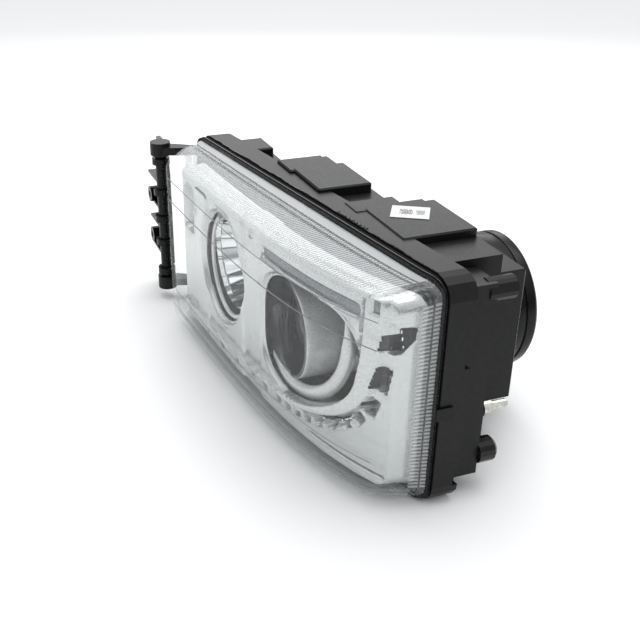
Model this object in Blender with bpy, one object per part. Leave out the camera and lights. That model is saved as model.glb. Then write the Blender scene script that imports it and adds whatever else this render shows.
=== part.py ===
"""Truck-style headlamp: every piece is its own object, in metres, +Z up.

The lamp is described in millimetres by three distances: how far inboard of the
outboard seam end (s), how far to the rear (y) and how far up from the seam's
lower edge (u). at() turns them into the model's frame, whose origin is the
middle of the base.
"""
import bpy
import bmesh
from math import cos, sin, pi, exp, radians, hypot
from mathutils import Matrix, Vector

# ---- driving dimensions, millimetres -------------------------------------
MM = 0.001
SEAM_W = 469.0          # width of the lens at its seam
SEAM_H = 215.0          # height of the lens at its seam
SWEEP = 66.0 / SEAM_W   # how far the seam runs forward for each step inboard
BASE_S, BASE_Y, BASE_U = 275.9, 31.25, -5.0   # middle of the base, in s, y, u

GAP = 0.3               # clearance between pieces that touch
WALL = 3.0              # moulded wall thickness
LENS_T = 3.0

FRAME_LIP = 5.0         # housing rim outside the lens outline
FRAME_Y0, FRAME_Y1 = 10.0, 36.0      # housing rim, behind the seam
PROJECTOR = (167.0, 107.0)           # low-beam axis (s, u)
LOW_CAP = (167.0, 101.0)
LOW_OPENING = (131.0, 112.0)         # middle of the bezel's projector opening
SURROUND = (140.0, 112.0)            # middle of the bowl behind that opening
HIGH = (307.0, 129.0)                # high-beam axis
TURN = (396.0, 150.0)                # turn-signal axis
PIVOT = (290.0, 16.0, 73.0)          # ball pivot of the reflectors
LEVEL_U = 190.0                      # height of the levelling motor
AIM_S = 21.0                         # horizontal adjuster
HINGE = (505.0, -103.0)              # hinge axis (s, y)
BEZEL_SET = 18.0                     # bezel face behind the lens face
ROUND = 28                           # sides of a large round piece
SMALL_ROUND = 16


def at(s, y, u):
    """Lamp distances in millimetres to the model's frame in metres."""
    return Vector(((BASE_S - s) * MM, (y - BASE_Y) * MM, (u - BASE_U) * MM))


def seam_y(s):
    return -SWEEP * s


def front_y(s):
    """Front of the lens: nearly flat inboard, sweeping back outboard."""
    return -(92.5 + 0.055 * s - 54.5 * exp(-s / 94.0))


# ---- materials -----------------------------------------------------------
def material(name, colour, roughness, metallic=0.0, alpha=1.0):
    made = bpy.data.materials.new(name)
    made.use_nodes = True
    shader = made.node_tree.nodes["Principled BSDF"]
    shader.inputs["Base Color"].default_value = (*colour, 1.0)
    shader.inputs["Roughness"].default_value = roughness
    shader.inputs["Metallic"].default_value = metallic
    shader.inputs["Alpha"].default_value = alpha
    made.diffuse_color = (*colour, alpha)
    return made


for old in list(bpy.data.objects):
    bpy.data.objects.remove(old)

LOOKS = {
    "black_plastic": ((0.03, 0.03, 0.032), 0.5, 0.0, 1.0),
    "black_rubber": ((0.015, 0.015, 0.015), 0.7, 0.0, 1.0),
    "clear_plastic": ((0.93, 0.96, 0.97), 0.05, 0.0, 0.3),
    "satin_silver": ((0.72, 0.73, 0.73), 0.3, 0.9, 1.0),
    "mirror_chrome": ((0.88, 0.88, 0.88), 0.06, 1.0, 1.0),
    "zinc": ((0.6, 0.6, 0.57), 0.35, 1.0, 1.0),
    "steel": ((0.5, 0.5, 0.5), 0.3, 1.0, 1.0),
    "grey_plastic": ((0.3, 0.3, 0.31), 0.5, 0.0, 1.0),
    "amber_glass": ((0.9, 0.4, 0.08), 0.1, 0.0, 0.6),
    "bulb_glass": ((0.9, 0.93, 0.95), 0.05, 0.0, 0.35),
    "white_label": ((0.85, 0.85, 0.84), 0.5, 0.0, 1.0),
    "circuit_green": ((0.05, 0.22, 0.1), 0.5, 0.0, 1.0),
    "brass": ((0.75, 0.55, 0.25), 0.3, 1.0, 1.0),
}
MATERIALS = {name: material(name, *look) for name, look in LOOKS.items()}


# ---- mesh helpers --------------------------------------------------------
def finish_mesh(name, bm, look, smooth=None):
    bmesh.ops.recalc_face_normals(bm, faces=bm.faces[:])
    mesh = bpy.data.meshes.new(name)
    bm.to_mesh(mesh)
    bm.free()
    mesh.materials.append(MATERIALS[look])
    if smooth:
        mesh.shade_smooth()
        mesh.set_sharp_from_angle(angle=radians(smooth))
    made = bpy.data.objects.new(name, mesh)
    bpy.context.scene.collection.objects.link(made)
    return made


def loft(name, rings, look="black_plastic", loop=False, smooth=None):
    """Closed solid through rings of points; loop joins the last ring to the first."""
    bm = bmesh.new()
    rows = [[bm.verts.new(at(*point)) for point in ring] for ring in rings]
    count = len(rows[0])
    following = rows[1:] + ([rows[0]] if loop else [])
    for near, far in zip(rows, following):
        for i in range(count):
            j = (i + 1) % count
            bm.faces.new((near[i], near[j], far[j], far[i]))
    if not loop:
        bm.faces.new(rows[0])
        bm.faces.new(rows[-1])
    return finish_mesh(name, bm, look, smooth)


def circle(centre, radius, depth, axis="y", sides=SMALL_ROUND, stretch=1.0):
    """Ring of points about an axis; centre is the axis' place in the other two directions."""
    points = []
    for k in range(sides):
        angle = 2.0 * pi * k / sides
        a, b = radius * cos(angle), radius * stretch * sin(angle)
        if axis == "y":
            points.append((centre[0] + a, depth, centre[1] + b))
        elif axis == "u":
            points.append((centre[0] + a, centre[1] + b, depth))
        else:
            points.append((depth, centre[0] + a, centre[1] + b))
    return points


def turned(name, profile, centre, look="black_plastic", axis="y", sides=SMALL_ROUND,
           hollow=False, stretch=1.0):
    """Round piece from a profile of (radius, depth) pairs; hollow closes the profile."""
    rings = [circle(centre, r, depth, axis, sides, stretch) for r, depth in profile]
    return loft(name, rings, look, loop=hollow, smooth=35)


def box(name, s, y, u, look="black_plastic", edge=0.0):
    """Box between pairs of distances, with an optional chamfer on its edges."""
    rings = [[(s[0], d, u[0]), (s[1], d, u[0]), (s[1], d, u[1]), (s[0], d, u[1])] for d in y]
    made = loft(name, rings, look)
    if edge:
        bm = bmesh.new()
        bm.from_mesh(made.data)
        bmesh.ops.bevel(bm, geom=bm.edges[:], offset=edge * MM, segments=1, affect="EDGES")
        bm.to_mesh(made.data)
        bm.free()
    return made


def slab(name, plan, u, look="black_plastic"):
    """Upright prism: a plan outline of (s, y) points between two heights."""
    return loft(name, [[(s, y, height) for s, y in plan] for height in u], look)


def combine(base, tools, operation="UNION"):
    """Join or cut with other solids, which are used up."""
    for tool in tools:
        change = base.modifiers.new("shape", "BOOLEAN")
        change.operation = operation
        change.solver = "EXACT"
        change.object = tool
        graph = bpy.context.evaluated_depsgraph_get()
        mesh = bpy.data.meshes.new_from_object(base.evaluated_get(graph))
        base.modifiers.clear()
        base.data = mesh
        bpy.data.objects.remove(tool)
    return base


def pivot_at(made, s, y, u):
    """Put a moving piece's origin on its joint axis."""
    place = at(s, y, u)
    made.data.transform(Matrix.Translation(-place))
    made.location = place
    return made


def outline(s0, s1, u0, u1, radius, arc=4, span=14):
    """Rounded rectangle of (s, u) points; the lower half mirrors the upper half."""
    upper = []
    for k in range(arc + 1):
        angle = pi - 0.5 * pi * k / arc
        upper.append((s0 + radius + radius * cos(angle), u1 - radius + radius * sin(angle)))
    for k in range(1, span):
        upper.append((s0 + radius + (s1 - s0 - 2 * radius) * k / span, u1))
    for k in range(arc + 1):
        angle = 0.5 * pi * (1 - k / arc)
        upper.append((s1 - radius + radius * cos(angle), u1 - radius + radius * sin(angle)))
    lower = [(s, u0 + u1 - u) for s, u in reversed(upper)]
    return upper + lower


def ring(shape, depth):
    return [(s, depth(s), u) for s, u in shape]


def shell(name, outer, inner, look):
    """Dished cover: outer and inner skins from rear rim to front, closed by upright strips."""
    bm = bmesh.new()
    skins = []
    for rings in (outer, inner):
        rows = [[bm.verts.new(at(*point)) for point in points] for points in rings]
        count = len(rows[0])
        for near, far in zip(rows, rows[1:]):
            for i in range(count):
                j = (i + 1) % count
                bm.faces.new((near[i], near[j], far[j], far[i]))
        upper, lower = rows[-1][:count // 2], rows[-1][count // 2:][::-1]
        for i in range(count // 2 - 1):
            bm.faces.new((upper[i], upper[i + 1], lower[i + 1], lower[i]))
        skins.append(rows[0])
    for i in range(len(skins[0])):
        j = (i + 1) % len(skins[0])
        bm.faces.new((skins[0][i], skins[0][j], skins[1][j], skins[1][i]))
    return finish_mesh(name, bm, look, smooth=35)


def wall_depth(share):
    """Depth between the seam (0) and the lens front (1)."""
    return lambda s: seam_y(s) + share * (front_y(s) - seam_y(s))


def behind_front(distance):
    return lambda s: front_y(s) + distance


def behind_seam(distance):
    return lambda s: seam_y(s) + distance


# ---- lens, gasket and bezel ------------------------------------------------
def make_lens():
    t = LENS_T
    outer = [ring(outline(0, SEAM_W, 0, SEAM_H, 14), seam_y),
             ring(outline(1.5, 454, 3, 212, 15), wall_depth(0.55)),
             ring(outline(4, 431, 7, 208, 16), behind_front(4)),
             ring(outline(10, 424, 12, 203, 13), behind_front(0))]
    inner = [ring(outline(t, SEAM_W - t, t, SEAM_H - t, 11), seam_y),
             ring(outline(1.5 + t, 454 - t, 3 + t, 212 - t, 12), wall_depth(0.55)),
             ring(outline(4 + t, 431 - t, 7 + t, 208 - t, 13), behind_front(5 + t)),
             ring(outline(11 + t, 424 - t, 12 + t, 203 - t, 11), behind_front(t))]
    shell("outer_lens", outer, inner, "clear_plastic")


def make_gasket():
    wide = outline(-3, SEAM_W + 3, -3, SEAM_H + 3, 17)
    tight = outline(6, SEAM_W - 6, 6, SEAM_H - 6, 10)
    near, far = behind_seam(GAP), behind_seam(FRAME_Y0 - GAP)
    loft("lens_gasket", [ring(wide, near), ring(wide, far), ring(tight, far), ring(tight, near)],
         "black_rubber", loop=True, smooth=35)


DRL_TOP, DRL_TURN_U, DRL_LOW = 178.0, 112.0, 36.0
DRL_EDGE, DRL_TURN_S, DRL_END = 25.0, 122.0, 392.0
DRL_DROP = 13.0         # how much the inboard end of the row lies lower


def drl_path(share):
    """Centre line of the running lights: down the outboard side, round, then inboard."""
    down = DRL_TOP - DRL_TURN_U
    turn = 0.5 * pi * 0.5 * (DRL_TURN_S - DRL_EDGE + DRL_TURN_U - DRL_LOW)
    along = DRL_END - DRL_TURN_S
    reach = share * (down + turn + along)
    if reach < down:
        return (DRL_EDGE, DRL_TOP - reach)
    if reach < down + turn:
        angle = 0.5 * pi * (reach - down) / turn
        return (DRL_TURN_S - (DRL_TURN_S - DRL_EDGE) * cos(angle),
                DRL_TURN_U - (DRL_TURN_U - DRL_LOW) * sin(angle))
    part = (reach - down - turn) / along
    return (DRL_TURN_S + part * along, DRL_LOW - part * DRL_DROP)


def drl_direction(share):
    a, b = drl_path(max(share - 0.005, 0.0)), drl_path(min(share + 0.005, 1.0))
    size = hypot(b[0] - a[0], b[1] - a[1])
    return (b[0] - a[0]) / size, (b[1] - a[1]) / size


def drl_strip(name, half_width, near, far, look, steps=22):
    """Band that follows the running lights between two depths behind the lens."""
    rings = []
    for k in range(steps + 1):
        share = 0.005 + 0.985 * k / steps
        (s, u), (ds, du) = drl_path(share), drl_direction(share)
        corners = [(s - du * half_width, u + ds * half_width),
                   (s + du * half_width, u - ds * half_width)]
        left, right = corners
        rings.append([(p, front_y(s) + depth, q)
                      for (p, q), depth in ((left, near), (right, near), (right, far), (left, far))])
    return loft(name, rings, look)


DRL_CELLS = 15


def drl_cell(k):
    """Place along the row, length and width of one running-light pocket."""
    share = 0.04 + 0.93 * (k / (DRL_CELLS - 1)) ** 1.05
    large = max(0.0, 1.0 - k / 6.0)
    return share, 11.0 + 13.0 * large, 6.5 + 5.5 * large


def make_bezel():
    set_back = BEZEL_SET
    outer = [ring(outline(10, 440, 12.5, 202.5, 12), behind_seam(6)),
             ring(outline(11, 430, 13, 202, 14), wall_depth(0.5)),
             ring(outline(12, 414, 15, 200, 16), behind_front(set_back))]
    inner = [ring(outline(12, 438, 14.5, 200.5, 11), behind_seam(6)),
             ring(outline(13, 428, 15, 200, 12), wall_depth(0.5)),
             ring(outline(14, 412, 17, 198, 14), behind_front(set_back + 2))]
    bezel = shell("bezel", outer, inner, "satin_silver")
    cutters = [turned("high_hole", [(55, -130), (55, -60)], HIGH, sides=ROUND),
               turned("low_hole", [(82, -130), (82, -30)], LOW_OPENING, sides=ROUND, stretch=0.76),
               box("turn_hole", (383, 409), (-130, -60), (112, 184))]
    for k in range(DRL_CELLS):
        share, length, width = drl_cell(k)
        (s, u), (ds, du) = drl_path(share), drl_direction(share)
        corners = [(s + a * ds * length / 2 - b * du * width / 2,
                    u + a * du * length / 2 + b * ds * width / 2)
                   for a, b in ((-1, -1), (1, -1), (1, 1), (-1, 1))]
        depth = front_y(s) + set_back + 1
        cutters.append(loft("cell", [[(p, depth - 12, q) for p, q in corners],
                                     [(p, depth + 12, q) for p, q in corners]]))
    combine(bezel, cutters, "DIFFERENCE")
    drl_strip("drl_reflector_strip", 7.0, set_back + 6, set_back + 10, "mirror_chrome")
    drl_strip("drl_circuit_board", 7.0, set_back + 11, set_back + 12.6, "circuit_green")
    for k, (s, u) in enumerate(((236, 183), (222, 140), (236, 68))):
        y = front_y(s) + set_back
        head = [(1.6, y - GAP), (3.4, y - 0.5), (3.4, y - 1.8), (2.6, y - 2.4)]
        turned(f"bezel_screw_{k + 1}", head, (s, u), "steel", sides=12)


# ---- housing ---------------------------------------------------------------
REAR_C, REAR_B, REAR_MID, REAR_LEFT, REAR_BOX = 62.0, 88.0, 54.0, 10.0, 132.0
BLOCKS = (  # top blocks and rear box: s, y, u
    ((85, 166), (13, 88.6), (198, 221.5)),
    ((160, 189), (2, 55), (198, 221.0)),
    ((225, 297), (-9, 50), (198, 223.5)),
    ((291, 331), (-14, 38), (198, 223.0)),
    ((387, 430), (-24, 3), (198, 219.0)),
    ((65, 265), (46, REAR_BOX), (45, 183)),
)
LUG = ((468, -46), (468, -30), (474, -34), (511, -92), (512, -104), (505, -112), (497, -110),
       (493, -104), (478, -52))      # plan of the arm that carries a hinge pin


def make_housing():
    rim = outline(-FRAME_LIP, SEAM_W + FRAME_LIP, -FRAME_LIP, SEAM_H + FRAME_LIP, 20)
    housing = loft("housing", [ring(rim, behind_seam(FRAME_Y0)), ring(rim, behind_seam(FRAME_Y1))])
    tray = [
        slab("slab_c", ((6, 14), (6, REAR_C), (50, REAR_C), (50, 9)), (13, 206)),
        slab("slab_b", ((42, 10), (42, REAR_B), (188, REAR_B), (188, REAR_MID), (352, REAR_MID),
                        (352, -34)), (16, 213.5)),
        slab("slab_left", ((340, -33), (340, REAR_LEFT), (462, REAR_LEFT), (462, -50)), (14, 205)),
        turned("low_neck", [(64.5, 125), (64.5, 152)], LOW_CAP, sides=ROUND),
        turned("high_neck", [(33, 49), (33, 66)], HIGH, sides=24),
        turned("upper_boss", [(10.7, 55), (10.7, 82)], (15, 196.5)),
        slab("upper_lug", LUG, (189.5, 199)),
        slab("lower_lug", LUG, (14, 23)),
        turned("upper_ring", [(12.5, 188), (12.5, 204)], HINGE, axis="u", sides=20),
        turned("lower_ring", [(12, 8.6), (12, 25)], HINGE, axis="u", sides=20),
        box("foot_out", (70, 76), (30, 84), (-5, 20), edge=1),
        box("foot_in", (210, 216), (10, 52), (-5, 20), edge=1),
    ]
    tray += [box("block", *block, edge=1.5) for block in BLOCKS]
    combine(housing, tray)

    w = WALL
    mouth = outline(4, SEAM_W - 4, 4, SEAM_H - 4, 12)
    cavity = loft("cavity", [ring(mouth, behind_seam(5)), ring(mouth, behind_seam(33))])
    hollows = [
        slab("c", ((6 + w, 14), (6 + w, REAR_C - w), (50, REAR_C - w), (50, 9)), (13 + w, 206 - w)),
        slab("b", ((42 + w, 5), (42 + w, REAR_B - w), (188 - w, REAR_B - w),
                   (188 - w, REAR_MID - w), (352 - w, REAR_MID - w), (352 - w, -34)),
             (16 + w, 213.5 - w)),
        slab("left", ((337, -36), (337, REAR_LEFT - w), (462 - w, REAR_LEFT - w), (462 - w, -52)),
             (14 + w, 205 - w)),
        turned("port", [(61, 120), (61, 160)], LOW_CAP, sides=ROUND),
        turned("port", [(30, 45), (30, 75)], HIGH, sides=24),
        turned("turn_port", [(15, 0), (15, 16)], TURN),
        turned("motor_port", [(13, 40), (13, 60)], (PIVOT[0], LEVEL_U)),
        turned("aim_port", [(5, 50), (5, 70)], (AIM_S, PIVOT[2]), sides=12),
    ]
    for s, y, u in BLOCKS:
        low_u = u[0] - 10 if u[0] > 100 else u[0] + w
        near_y = y[0] + w if u[0] > 100 else y[0] - 6
        hollows.append(box("hollow", (s[0] + w, s[1] - w), (near_y, y[1] - w), (low_u, u[1] - w)))
    combine(cavity, hollows)
    cutters = [cavity,
               turned("boss_hole", [(4.2, 66), (4.2, 90)], (15, 196.5), sides=12),
               turned("pin_hole", [(4.3, 180), (4.3, 201)], HINGE, axis="u", sides=12),
               turned("pin_hole", [(4.3, 11), (4.3, 30)], HINGE, axis="u", sides=12),
               box("side_pocket", (-8, 1), (31, 40), (135, 168)),
               box("side_pocket", (-8, 1), (31, 40), (14, 27))]
    combine(housing, cutters, "DIFFERENCE")


def make_hinge():
    s, y = HINGE
    barrel = turned("hinge_bracket", [(7, 26), (7, 187)], HINGE, axis="u", sides=20)
    plate = ((30, 6), (40, 2), (54, 20), (54, 182), (46, 198), (17, 198), (16, 184), (4, 178),
             (0, 160), (0, 40), (14, 30))
    arm = loft("arm", [[(s + a, y + depth, u) for a, u in plate] for depth in (6, 11)])
    bosses = [turned("boss", [(10, y - 8), (10, y + 14)], (s + 40, u), sides=20)
              for u in (124, 68)]
    ribs = [box("rib", (s + 2, s + 51), (y - 6, y + 9), (u - 1.5, u + 1.5))
            for u in (152, 118, 92, 56)]
    collars = [turned("collar", [(11, u - 4), (11, u + 4)], HINGE, axis="u", sides=20)
               for u in (180, 140, 105, 73, 33)]
    combine(barrel, [arm] + bosses + ribs + collars)
    holes = [turned("bolt_hole", [(4.5, y - 20), (4.5, y + 30)], (s + 40, u), sides=12)
             for u in (124, 68)]
    holes += [turned("bore", [(4.3, low), (4.3, high)], HINGE, axis="u", sides=12)
              for low, high in ((165, 190), (20, 48))]
    combine(barrel, holes, "DIFFERENCE")
    pivot_at(barrel, s, y, 26)
    for name, low, high in (("hinge_pin_upper", 167, 200.5), ("hinge_pin_lower", 11.5, 46)):
        turned(name, [(3.9, low), (3.9, high)], HINGE, "steel", axis="u", sides=12)


# ---- reflectors and everything that aims with them -------------------------
def make_aimed_group():
    s, y, u = PIVOT
    frame = box("reflector_carrier", (60, 344), (13, 18), (50, 200))
    arms = [box("arm", (14, 70), (13, 18), (62, 84)),
            turned("cup", [(9, 4), (9, 24)], (s, u)),
            turned("cup", [(9, 4), (9, 24)], (s, LEVEL_U)),
            turned("cup", [(8, 6), (8, 24)], (AIM_S, u))]
    combine(frame, arms)
    holes = [turned("low_hole", [(49, 0), (49, 30)], PROJECTOR, sides=ROUND),
             turned("high_hole", [(32, 0), (32, 30)], HIGH, sides=24),
             box("window", (225, 265), (0, 30), (95, 170)),
             box("window", (72, 105), (0, 30), (165, 190)),
             turned("socket_bore", [(7.6, 8), (7.6, 40)], (s, u)),
             turned("ball_bore", [(5.6, 8), (5.6, 40)], (s, LEVEL_U)),
             turned("ball_bore", [(5.6, 9), (5.6, 40)], (AIM_S, u))]
    combine(frame, holes, "DIFFERENCE")
    pivot_at(frame, s, y, u)

    socket = turned("pivot_ball_socket", [(7.2, y - 6), (7.2, y + 6)], (s, u), "grey_plastic")
    combine(socket, [turned("bore", [(5.5, y - 4.5), (5.5, y + 10)], (s, u))], "DIFFERENCE")
    pivot_at(socket, s, y, u)
    ball = [(2.2, y - 4.4), (4.2, y - 2.8), (5.1, y), (4.2, y + 2.8), (3.0, y + 4.2)]
    turned("pivot_ball_stud", ball + [(3.0, REAR_MID - WALL - GAP)], (s, u), "steel")

    level_ball = ball + [(2.6, 26.5), (2.6, 40)]
    pivot_at(turned("levelling_plunger", level_ball, (s, LEVEL_U), "grey_plastic"), s, y, LEVEL_U)
    motor = box("levelling_motor", (274, 306), (31, 50), (174, 206), edge=2)
    combine(motor, [turned("neck", [(12.5, 48), (12.5, 57)], (s, LEVEL_U))])
    combine(motor, [turned("bore", [(3.0, 20), (3.0, 46)], (s, LEVEL_U), sides=12)], "DIFFERENCE")
    knob = [(10, 57.3), (11, 58.5), (11, 66), (4, 66.5), (4, 74)]
    pivot_at(turned("vertical_adjuster_screw", knob, (s, LEVEL_U), "zinc", sides=12),
             s, 57.3, LEVEL_U)

    rod = ball + [(2.6, 26), (2.6, 47)]
    pivot_at(turned("horizontal_adjuster_rod", rod, (AIM_S, u), "zinc"), AIM_S, y, u)
    turned("horizontal_adjuster_collar", [(3.2, 62.3), (8.5, 62.3), (8.5, 69), (3.2, 69)],
           (AIM_S, u), "black_plastic", hollow=True)
    screw = [(3.0, 58), (3.0, 69.3), (6.2, 69.3), (6.2, 79), (4.4, 79.5), (4.4, 95), (3.6, 96)]
    pivot_at(turned("horizontal_adjuster_screw", screw, (AIM_S, u), "zinc", sides=12),
             AIM_S, 69.3, u)


def make_projector():
    s, u = PROJECTOR
    hood = [(48, -64), (49.5, -64), (51, -61), (52.5, -14), (46, -12), (46, -14), (50, -16),
            (48, -60)]
    turned("projector_shroud", hood, PROJECTOR, "satin_silver", sides=ROUND, hollow=True)
    lens = [(35, -30), (35, -34), (30, -41), (20, -47), (8, -50)]
    turned("projector_lens", lens, PROJECTOR, "bulb_glass", sides=ROUND)
    holder = [(35.4, -36), (39, -36), (45.5, -13), (45.5, -10), (36, -10), (36, -28), (34, -29.6),
              (35.4, -29.6)]
    turned("projector_lens_holder", holder, PROJECTOR, "grey_plastic", sides=ROUND, hollow=True)
    bowl = [(45, -9.7), (45, 0), (38, 30), (22, 52), (12, 60), (9, 60), (9, 57), (20, 49),
            (35.5, 28), (42, 0), (42, -9.7)]
    turned("projector_bowl", bowl, PROJECTOR, "mirror_chrome", sides=ROUND, hollow=True)
    box("cutoff_shield", (s - 30, s + 30), (-6, -5), (u - 28, u - 1), "steel")
    bulb(PROJECTOR, "low_beam", 30, 60.3, "bulb_glass")

    mouth = [(p, q) for p, _, q in circle(SURROUND, 92, 0, sides=ROUND, stretch=0.72)]
    surround = [ring(mouth, behind_front(BEZEL_SET + 2.6)),
                circle(PROJECTOR, 64, -28, sides=ROUND),
                circle(PROJECTOR, 66, -26, sides=ROUND),
                ring(mouth, behind_front(BEZEL_SET + 5))]
    loft("projector_surround", surround, "mirror_chrome", loop=True, smooth=35)


def bulb(centre, name, tip, base, look):
    """Bulb, and the socket that twists with it behind the reflector."""
    turned(f"{name}_bulb", [(2, tip), (5, tip + 3), (5, base - 8), (4, base - GAP)], centre, look,
           sides=12)
    profile = [(11, base), (13, base + 2), (13, base + 12), (9, base + 14), (9, base + 26)]
    socket = turned(f"{name}_socket", profile, centre, "black_plastic")
    grip = box("grip", (centre[0] - 16, centre[0] + 16), (base + 3, base + 10),
               (centre[1] - 3, centre[1] + 3))
    combine(socket, [grip])
    pivot_at(socket, centre[0], base, centre[1])


def make_high_beam():
    bowl = [(60, -76), (60, -70), (46, -34), (26, -14), (14, -8), (11, -8), (11, -10.5),
            (24, -17), (43.5, -36), (57.5, -71), (57.5, -76)]
    turned("high_beam_reflector", bowl, HIGH, "mirror_chrome", sides=ROUND, hollow=True)
    bulb(HIGH, "high_beam", -44, -7.7, "bulb_glass")
    shield = [(3, -56), (8, -52), (8, -46), (7.2, -46), (7.2, -51), (3, -55)]
    turned("high_beam_glare_shield", shield, HIGH, "satin_silver", hollow=True)


def make_turn_signal():
    bowl = [(14, -86), (14, -80), (10, -58), (7, -52), (5.5, -52), (5.5, -54), (8.5, -60),
            (12.4, -80), (12.4, -86)]
    turned("turn_signal_reflector", bowl, TURN, "mirror_chrome", hollow=True, stretch=2.1)
    glass = [(2, -70), (5, -66), (5, -18), (4, -12)]
    turned("turn_signal_bulb", glass, TURN, "amber_glass", sides=12)
    y = REAR_LEFT + GAP
    profile = [(9, -11.7), (13.5, -9), (13.5, y), (19, y), (19, y + 4), (10, y + 5), (10, y + 18)]
    pivot_at(turned("turn_signal_socket", profile, TURN, "grey_plastic"), TURN[0], y, TURN[1])


# ---- caps, connector and small outside pieces ------------------------------
LABEL, LABEL_TURN = (140.5, 49.0, 221.9), 59.0


def cap(name, centre, neck_radius, start, look="black_plastic"):
    """Bayonet cap over a neck, with the rubber seal that comes off with it."""
    r = neck_radius
    turned(f"{name}_seal", [(r - 3, start + GAP), (r + 1.5, start + GAP), (r + 1.5, start + 3),
                            (r - 3, start + 3)], centre, "black_rubber", sides=ROUND, hollow=True)
    outer = [(r + 7, start - 8), (r + 7, start + 22), (r + 3, start + 26), (r - 4, start + 26),
             (r - 6, start + 22)]
    inner = [(r + 0.8, start - 8), (r + 2, start - 0.5), (r + 2, start + 3.3),
             (r - 3, start + 3.3), (r - 3, start + 18)]
    outer, inner = ([circle(centre, radius, y, sides=ROUND) for radius, y in side]
                    for side in (outer, inner))
    made = cup_solid(name, outer, inner, look)
    grip = box("grip", (centre[0] - r * 0.8, centre[0] + r * 0.8), (start + 20, start + 25.5),
               (centre[1] - 4, centre[1] + 4), edge=1)
    combine(made, [grip])
    pivot_at(made, centre[0], start, centre[1])


def cup_solid(name, outer, inner, look):
    """Cup open at the front: outer skin to its rear disc, inner skin to its own floor."""
    bm = bmesh.new()
    rims = []
    for rings in (outer, inner):
        rows = [[bm.verts.new(at(*point)) for point in points] for points in rings]
        count = len(rows[0])
        for near, far in zip(rows, rows[1:]):
            for i in range(count):
                j = (i + 1) % count
                bm.faces.new((near[i], near[j], far[j], far[i]))
        bm.faces.new(rows[-1])
        rims.append(rows[0])
    for i in range(len(rims[0])):
        j = (i + 1) % len(rims[0])
        bm.faces.new((rims[0][i], rims[0][j], rims[1][j], rims[1][i]))
    return finish_mesh(name, bm, look, smooth=35)


def make_small_outside():
    connector = box("connector_socket", (372, 404), (REAR_LEFT + GAP, 40), (84, 108), edge=1)
    combine(connector, [box("mouth", (375, 401), (20, 50), (87, 105))], "DIFFERENCE")
    for k, s in enumerate((381, 388, 395)):
        box(f"connector_pin_{k + 1}", (s - 0.8, s + 0.8), (20 + GAP, 33), (95.2, 96.8), "brass")
    box("led_driver", (354, 370), (REAR_LEFT + GAP, 24), (24, 76), "steel", edge=1)
    turned("vent_elbow", [(12, REAR_C + GAP), (12, 78), (9, 81)], (13, 33), "black_rubber")
    turned("breather_cap", [(7, REAR_LEFT + GAP), (7, 16), (5, 18)], (440, 170), "black_rubber")
    sleeve = [(2.6, 68), (4.0, 68), (4.0, 82.4), (2.6, 82.4)]
    turned("mounting_sleeve", sleeve, (15, 196.5), "steel", sides=12, hollow=True)
    for k, (s, side) in enumerate(((-FRAME_LIP, -1), (SEAM_W + FRAME_LIP, 1))):
        y = seam_y(s)
        box(f"lens_clip_{k + 1}", sorted((s + side * GAP, s + side * 2.2)), (y + 6, y + 22),
            (89, 101), "steel")
    label = box("label_sticker", (-18, 18), (-15.5, 15.5), (-0.15, 0.15), "white_label")
    label.data.transform(Matrix.Translation(-at(0, 0, 0)))
    label.data.transform(Matrix.Rotation(radians(LABEL_TURN), 4, "Z"))
    label.location = at(*LABEL)


make_lens()
make_gasket()
make_bezel()
make_housing()
make_hinge()
make_aimed_group()
make_projector()
make_high_beam()
make_turn_signal()
cap("low_beam_cap", LOW_CAP, 64.5, 152)
cap("high_beam_cap", HIGH, 33, 66)
make_small_outside()
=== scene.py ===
# Truck headlamp: the finished surfaces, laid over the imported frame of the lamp.
import random
from math import cos, sin, pi, exp, radians, hypot

import bmesh
import bpy
import numpy as np
from mathutils import Matrix, Vector


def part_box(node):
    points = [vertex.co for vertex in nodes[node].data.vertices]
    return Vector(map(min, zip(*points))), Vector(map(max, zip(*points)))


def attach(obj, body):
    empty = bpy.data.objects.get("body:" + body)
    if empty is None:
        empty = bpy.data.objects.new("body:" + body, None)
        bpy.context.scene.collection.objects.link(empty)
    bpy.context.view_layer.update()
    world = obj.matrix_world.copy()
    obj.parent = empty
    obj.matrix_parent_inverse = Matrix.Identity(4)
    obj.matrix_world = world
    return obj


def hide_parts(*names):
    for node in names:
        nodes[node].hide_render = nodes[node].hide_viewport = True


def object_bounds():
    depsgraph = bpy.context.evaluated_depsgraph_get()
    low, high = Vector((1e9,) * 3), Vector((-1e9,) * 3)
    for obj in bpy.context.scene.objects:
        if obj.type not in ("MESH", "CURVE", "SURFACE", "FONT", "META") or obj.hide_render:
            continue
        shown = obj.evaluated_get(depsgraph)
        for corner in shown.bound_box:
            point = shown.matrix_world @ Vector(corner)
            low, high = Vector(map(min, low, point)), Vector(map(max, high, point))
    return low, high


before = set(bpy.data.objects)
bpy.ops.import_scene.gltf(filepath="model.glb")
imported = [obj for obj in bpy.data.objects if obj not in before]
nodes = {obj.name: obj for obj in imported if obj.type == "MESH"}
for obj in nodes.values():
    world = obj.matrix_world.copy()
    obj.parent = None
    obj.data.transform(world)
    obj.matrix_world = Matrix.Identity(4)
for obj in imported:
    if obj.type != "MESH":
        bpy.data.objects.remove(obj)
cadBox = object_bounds()

# Lamp distances are in millimetres: s inboard from the outboard seam end, y to the rear,
# u up from the seam's lower edge.
mm = 0.001
lensLow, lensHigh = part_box("outer_lens")
seamWidth = (lensHigh.x - lensLow.x) / mm
seamHeight = (lensHigh.z - lensLow.z) / mm
sweep = 66.0 / seamWidth      # forward run of the seam for each step inboard


def lamp(s, y, u):
    return Vector((lensHigh.x - s * mm, lensHigh.y + y * mm, lensLow.z + u * mm))


def seamY(s):
    return -sweep * s


def frontY(s):
    return -(92.5 + 0.055 * s - 54.5 * exp(-s / 94.0))


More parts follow.
